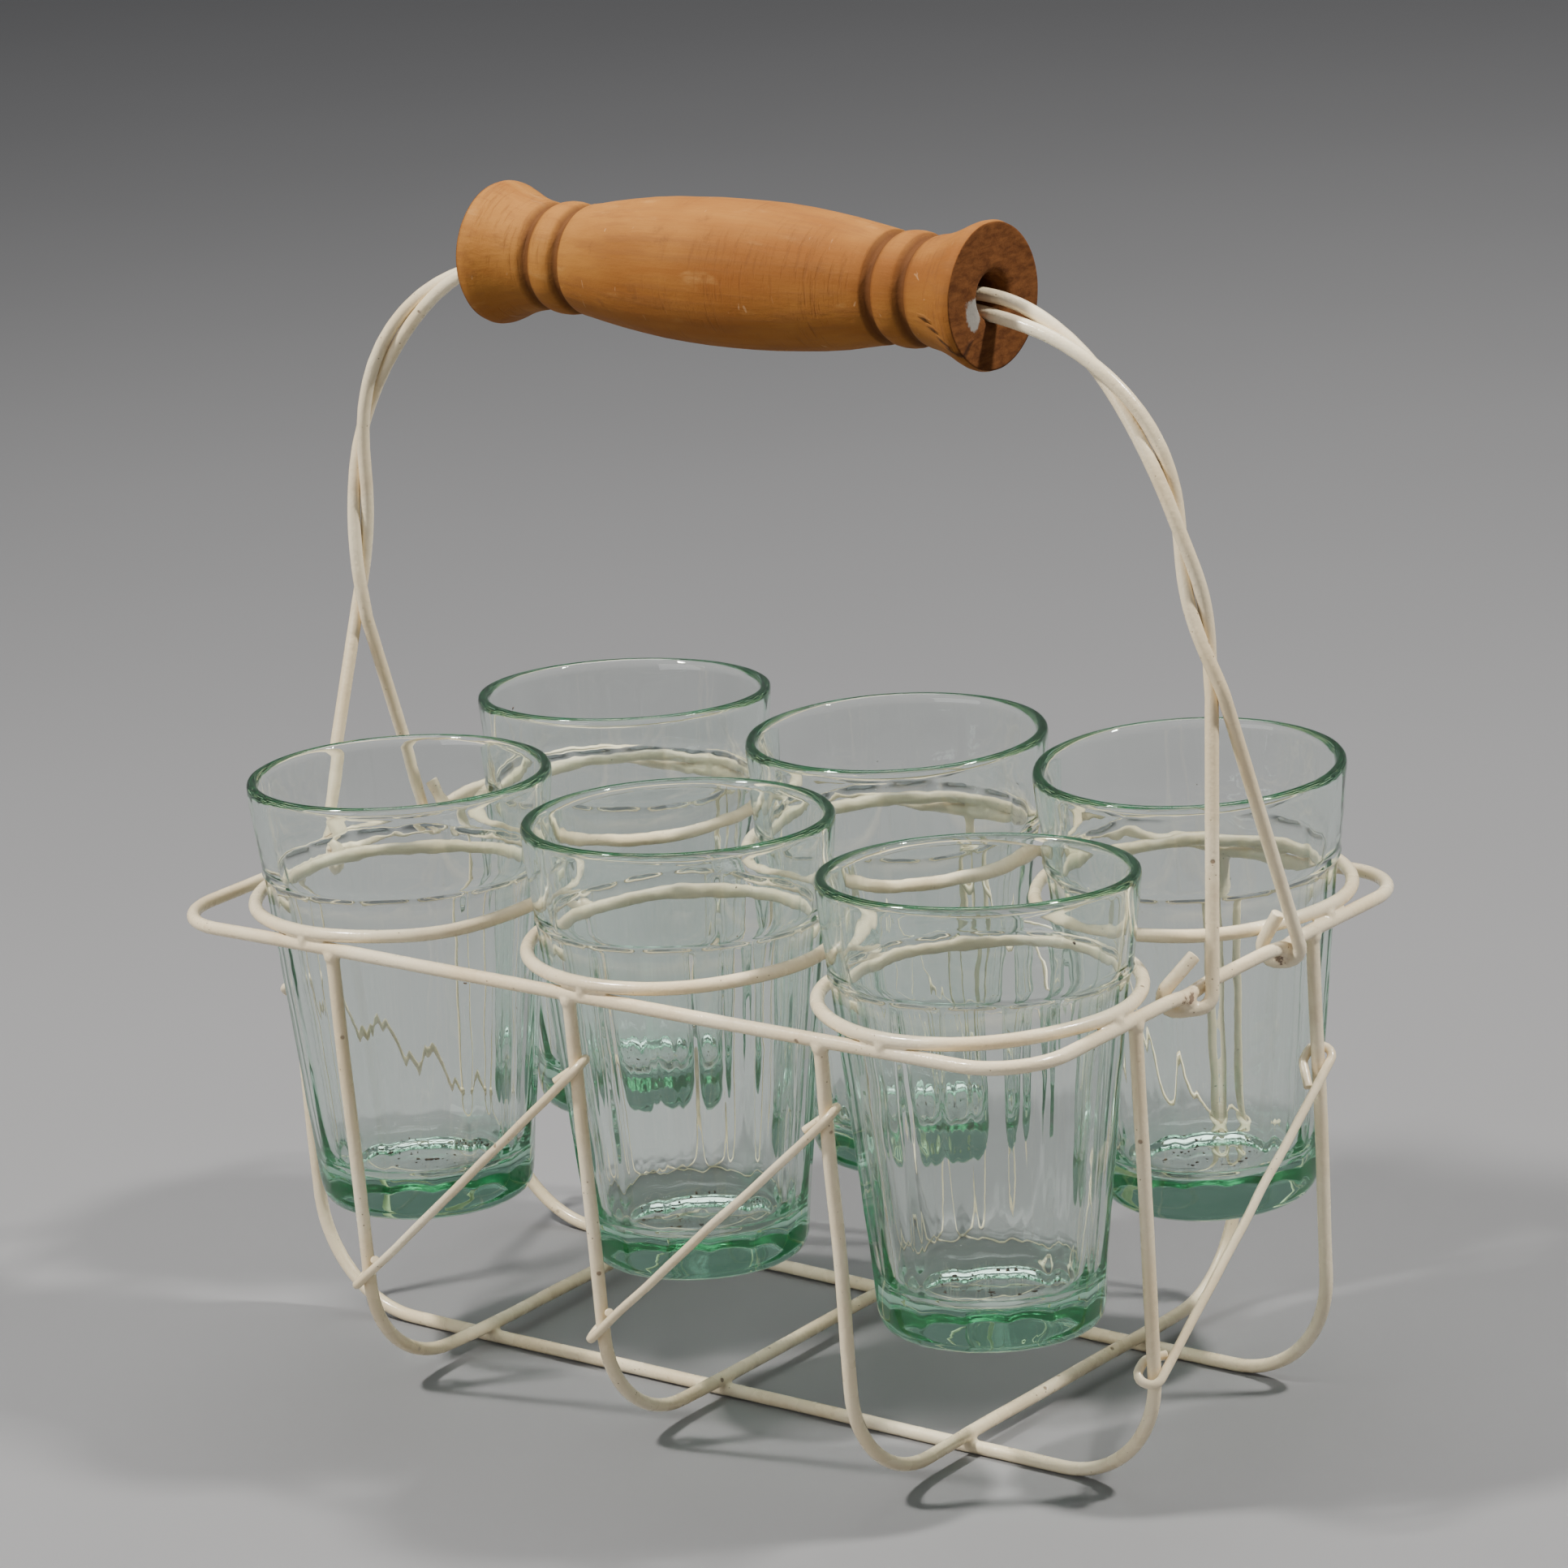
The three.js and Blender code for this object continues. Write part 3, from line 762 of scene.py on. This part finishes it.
def grip_rows():
    """Rings of the grip, closed through its bore: place along it, radius, painted groove shade, end grain."""
    rows = [(-d, r, g, 0.0) for d, r, g in reversed(GRIP_OUTLINE[1:])]
    rows += [(d, r, g, 0.0) for d, r, g in GRIP_OUTLINE]
    right_face = [(GRIP_HALF, r, 0.0, 1.0) for r in END_FACE_RADII]
    right_face.append((GRIP_HALF - 0.7, GRIP_BORE + 0.2, 0.2, 1.0))
    left_face = [(-x, r, g, e) for x, r, g, e in reversed(right_face)]
    bore = [(x, GRIP_BORE, 0.0, 1.0) for x in (GRIP_HALF - 1.6, 45, 15, -15, -45, -GRIP_HALF + 1.6)]
    return left_face + rows + right_face + bore


def make_grip():
    """A turned, slightly uneven body that is the same at both ends, apart from its marks."""
    rows = grip_rows()
    angles = np.arange(GRIP_SIDES) * 2 * math.pi / GRIP_SIDES
    verts, groove_shade, end = [], [], []
    for x, radius, cut, raw in rows:
        for angle in angles:
            p = Vector((x * 0.05, math.cos(angle) * 0.9, math.sin(angle) * 0.9))
            uneven = noise.noise(p * 1.7) * 0.16 + noise.noise(p * 6.0) * 0.05
            r = radius + (uneven if radius > GRIP_BORE + 1 else 0)
            verts.append((x, r * math.cos(angle), r * math.sin(angle)))
            groove_shade.append(cut)
            end.append(raw)
    verts = np.array(verts)
    faces = []
    count = len(rows)
    for i in range(count):
        a, b = i * GRIP_SIDES, (i + 1) % count * GRIP_SIDES
        for j in range(GRIP_SIDES):
            k = (j + 1) % GRIP_SIDES
            faces.append((a + j, b + j, b + k, a + k))
    piece = new_object("turned_grip", verts, faces, wood)
    # The painted shade for the grooves, taken from the outline's third column.
    point_attribute(piece, "groove_shade", groove_shade)
    point_attribute(piece, "endgrain", end)
    across = (verts[:, 1] - SMEAR_MIDDLE[0]) / SMEAR_HALF[0]
    upwards = (verts[:, 2] - SMEAR_MIDDLE[1]) / SMEAR_HALF[1]
    on_right_face = verts[:, 0] > GRIP_HALF - 1
    point_attribute(piece, "smear", np.where(on_right_face, np.exp(-(across**2) - upwards**2), 0))
    angle = np.degrees(np.arctan2(verts[:, 2], verts[:, 1]))
    off_line = np.abs(angle - CRACK_ANGLE - (GRIP_HALF - verts[:, 0]) * CRACK_SLANT)
    inside = (verts[:, 0] > GRIP_HALF - CRACK_LENGTH) & (np.hypot(verts[:, 1], verts[:, 2]) > 12)
    point_attribute(piece, "crack", np.where(inside & (off_line < CRACK_WIDTH), 1, 0))
    piece.matrix_world = Matrix.Translation(Vector(GRIP_MIDDLE) * MM)
    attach(piece, "grip")
    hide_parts("grip")


# ---- glasses -------------------------------------------------------------------------------
FACETS = 16
FACET_SHARE = [-1.0, -0.94, -0.86, -0.74, -0.4, 0.0, 0.4, 0.74, 0.86, 0.94]  # columns across a facet
FACET_EDGE = 0.78  # where the edge between two facets starts to round over
ARCH = 0.7
GRIT_GRAINS = 60
GRIT_ON_WALL = 8
GRIT_FLOOR, GRIT_SPREAD = 8.8, 14.0
GRIT_WALL_SPAN = (25, 92)
# Outline rows: radius, height, how flat the facets are, how much the arches lift the row.
BASE_ROWS = [
    (8, 1.4, 0, 0), (14, 1.1, 0, 0), (17.5, 0.6, 0, 0), (19.3, 0.12, 0, 0), (20.4, 0, 0, 0),
    (21.6, 0.3, 0, 0), (22.7, 1.1, 0, 0), (23.5, 2.4, 0, 0), (24.0, 4.2, 0.1, 0), (24.35, 6.5, 0.35, 0),
    (24.6, 9.0, 0.7, 0), (24.85, 11.5, 0.9, 0), (25.1, 14.0, 1, 0),
]
WALL_TOP = (31.45, 74.0)
LINE_ROWS = [
    (31.5, 74.6, 1, 1), (31.6, 75.3, 0.8, 1), (31.68, 75.8, 0.3, 1), (31.74, 76.2, 0, 0.8),
    (31.95, 76.7, 0, 0.3), (32.02, 77.0, 0, 0), (31.95, 77.35, 0, 0), (31.86, 77.8, 0, 0),
]
BAND_ROWS = [(32.1, 79.5, 0, 0), (32.6, 84, 0, 0), (33.1, 88, 0, 0), (33.55, 92, 0, 0), (33.85, 95.2, 0, 0)]
LIP_ROWS = [
    (33.95, 96.4, 0, 0), (33.85, 97.2, 0, 0), (33.5, 97.75, 0, 0), (32.9, 98, 0, 0), (32.2, 97.9, 0, 0),
    (31.65, 97.5, 0, 0), (31.3, 96.8, 0, 0), (31.15, 95.6, 0, 0),
]
INNER_TOP, INNER_LOW = (30.7, 91.0), (21.1, 14.6)
FLOOR_ROWS = [
    (20.7, 12.6, 0, 0), (19.9, 10.9, 0, 0), (18.5, 9.6, 0, 0), (16.2, 8.9, 0, 0), (12, 8.5, 0, 0),
    (7, 8.3, 0, 0),
]


def wall_rows(low, high, count, flat):
    """Rows between two outline points, both left out."""
    parts = np.linspace(0, 1, count + 2)[1:-1]
    return [
        (low[0] + (high[0] - low[0]) * t, low[1] + (high[1] - low[1]) * t, flat, 0) for t in parts
    ]


def glass_rows():
    rows = list(BASE_ROWS)
    rows += wall_rows(BASE_ROWS[-1], WALL_TOP, 18, 1)
    rows += LINE_ROWS + BAND_ROWS + LIP_ROWS
    rows += [(*INNER_TOP, 0, 0)]
    rows += wall_rows(INNER_TOP, INNER_LOW, 20, 0)
    rows += [(*INNER_LOW, 0, 0)] + FLOOR_ROWS
    return rows


def facet_sink(share):
    """How far a facet lies inside the round wall, as a share of the radius."""
    rounding = max(0.0, abs(share) - FACET_EDGE) ** 2 / (1 - FACET_EDGE)
    return (1 - math.cos(math.pi / FACETS)) * (1 - share * share + rounding)


def glass_mesh(index):
    rows = glass_rows()
    half = math.pi / FACETS
    columns = [(f, s) for f in range(FACETS) for s in FACET_SHARE]
    shift = Vector((index * 13.7, index * 5.1, index * 2.9))
    verts = []
    for radius, height, flat, arch in rows:
        for facet, share in columns:
            angle = (2 * facet + 1 + share) * half
            r = radius * (1 - flat * facet_sink(share))
            z = height + arch * ARCH * (1 - share * share)
            place = Vector((r * math.cos(angle), r * math.sin(angle), z))
            ripple = noise.noise(place * 0.11 + shift) * 0.14 + noise.noise(place * 0.3 + shift) * 0.04
            r += ripple if radius > 15 else 0
            verts.append((r * math.cos(angle), r * math.sin(angle), z))
    count = len(columns)
    faces = [
        (i * count + j, i * count + (j + 1) % count, (i + 1) * count + (j + 1) % count, (i + 1) * count + j)
        for i in range(len(rows) - 1)
        for j in range(count)
    ]
    faces.append(tuple(reversed(range(count))))
    faces.append(tuple((len(rows) - 1) * count + j for j in range(count)))
    verts = np.array(verts)
    verts[:, 2] += GLASS_FLOOR - CAD_RING_Z
    return verts, faces


def place_in_ring(piece, index):
    about_x, about_y, raised = GLASS_SEATS[index]
    middle = ring_middles[index]
    seat = Vector((middle[0], middle[1], CAD_RING_Z + raised)) * MM
    turn = Matrix.Rotation(math.radians(about_x), 4, "X") @ Matrix.Rotation(math.radians(about_y), 4, "Y")
    piece.matrix_world = Matrix.Translation(seat) @ turn


def make_glasses():
    for i in range(len(GLASS_SEATS)):
        verts, faces = glass_mesh(i)
        piece = new_object(f"tea_glass_{i + 1}", verts, faces, glass)
        place_in_ring(piece, i)
        body = f"glass_{i + 1}"
        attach(piece, body)
        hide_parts(body)


def grain(rng, on_wall):
    """One grain as the hull of eight random points: on the wall, or flat on the floor."""
    angle = rng.uniform(0, 2 * math.pi)
    height = rng.uniform(*GRIT_WALL_SPAN) if on_wall else GRIT_FLOOR
    if on_wall:
        distance = 21.0 + (height - 18) * 0.1265
    else:
        distance = GRIT_SPREAD * math.sqrt(rng.uniform(0, 1))
    centre = np.array([distance * math.cos(angle), distance * math.sin(angle), height])
    size = (0.28 + 0.75 * rng.uniform(0, 1) ** 3) * (0.4 if on_wall else 1)
    lump = rng.normal(0, 1, (8, 3))
    lump = lump / np.linalg.norm(lump, axis=1)[:, None] * size * rng.uniform(0.6, 1.3, (8, 1))
    lump[:, 2] *= 1 if on_wall else 0.5
    hull = bmesh.new()
    for point in centre + lump:
        hull.verts.new(point)
    made = bmesh.ops.convex_hull(hull, input=hull.verts)
    unused = [v for v in made["geom_interior"] if isinstance(v, bmesh.types.BMVert)]
    bmesh.ops.delete(hull, geom=unused, context="VERTS")
    hull.verts.index_update()
    verts = [tuple(v.co) for v in hull.verts]
    faces = [tuple(v.index for v in face.verts) for face in hull.faces]
    hull.free()
    return verts, faces


def make_grit():
    """Brown grit baked on the floor of each glass, and a few grains on its walls."""
    for i in range(len(GLASS_SEATS)):
        rng = np.random.default_rng(700 + i)
        verts, faces = joined([grain(rng, k < GRIT_ON_WALL) for k in range(GRIT_GRAINS)])
        piece = new_object(f"grit_{i + 1}", verts + UP * (GLASS_FLOOR - CAD_RING_Z), faces, grit)
        place_in_ring(piece, i)
        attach(piece, f"glass_{i + 1}")


# ---- stage, light and camera ---------------------------------------------------------------
def make_stage():
    half = 9000.0
    corners = [(-half, -half, 0), (half, -half, 0), (half, half, 0), (-half, half, 0)]
    floor = new_object("floor", corners, [(0, 1, 2, 3)], floor_material())


def area_light(name, place, target, size, power, colour=(1, 1, 1)):
    light = bpy.data.lights.new(name, "AREA")
    light.shape = "RECTANGLE"
    light.size, light.size_y = size
    light.energy = power
    light.color = colour
    obj = bpy.data.objects.new(name, light)
    bpy.context.scene.collection.objects.link(obj)
    obj.location = place
    obj.rotation_euler = (Vector(target) - Vector(place)).to_track_quat("-Z", "Y").to_euler()


def make_light():
    world = bpy.data.worlds.new("studio")
    world.use_nodes = True
    world.node_tree.nodes["Background"].inputs[0].default_value = (0.86, 0.88, 0.92, 1)
    world.node_tree.nodes["Background"].inputs[1].default_value = 0.2
    bpy.context.scene.world = world
    middle = (0, 0, 0.1)
    area_light("key_left", (-0.42, -0.52, 1.1), middle, (0.1, 0.1), 19, (1, 0.97, 0.92))
    area_light("key_right", (0.68, 0.38, 1.1), middle, (0.1, 0.1), 19, (1, 0.97, 0.92))
    area_light("overhead", (-0.3, 0.5, 1.4), middle, (0.8, 0.8), 8)
    area_light("front_fill", (-0.4, -1.5, 0.7), middle, (1.2, 0.8), 7)


GLASS_BOUNCES = 32
CAMERA = {
    "azimuth": 39.72, "elevation": 16.41, "roll": 4.44, "distance": 1379.4,
    "target": (3.54, 0.0, 132.8), "focal_share": 4.02,  # focal length over the picture's width
}


def make_camera():
    azimuth, elevation, roll = (math.radians(CAMERA[k]) for k in ("azimuth", "elevation", "roll"))
    back = Vector((
        math.sin(azimuth) * math.cos(elevation),
        -math.cos(azimuth) * math.cos(elevation),
        math.sin(elevation),
    ))
    data = bpy.data.cameras.new("photo_camera")
    data.sensor_width = 36.0
    data.lens = data.sensor_width * CAMERA["focal_share"]
    data.clip_start, data.clip_end = 0.05, 40
    camera = bpy.data.objects.new("photo_camera", data)
    bpy.context.scene.collection.objects.link(camera)
    camera.location = (Vector(CAMERA["target"]) + back * CAMERA["distance"]) * MM
    aim = (-back).to_track_quat("-Z", "Y").to_matrix().to_4x4()
    camera.rotation_euler = (aim @ Matrix.Rotation(-roll, 4, "Z")).to_euler()
    bpy.context.scene.camera = camera


def let_light_through_glass():
    """Light that crosses several glasses needs many bounces before it leaves them."""
    light_paths = bpy.context.scene.cycles
    light_paths.max_bounces = GLASS_BOUNCES
    light_paths.transmission_bounces = GLASS_BOUNCES
    light_paths.glossy_bounces = GLASS_BOUNCES


# ---- the whole scene -----------------------------------------------------------------------
paint = paint_material()
wood = wood_material()
glass = glass_material()
grit = speck_material()
place_wear()
make_frame()
make_braces()
make_bail()
make_welds()
mark_wear()
make_grip()
make_glasses()
make_grit()
make_stage()
make_light()
make_camera()
let_light_through_glass()
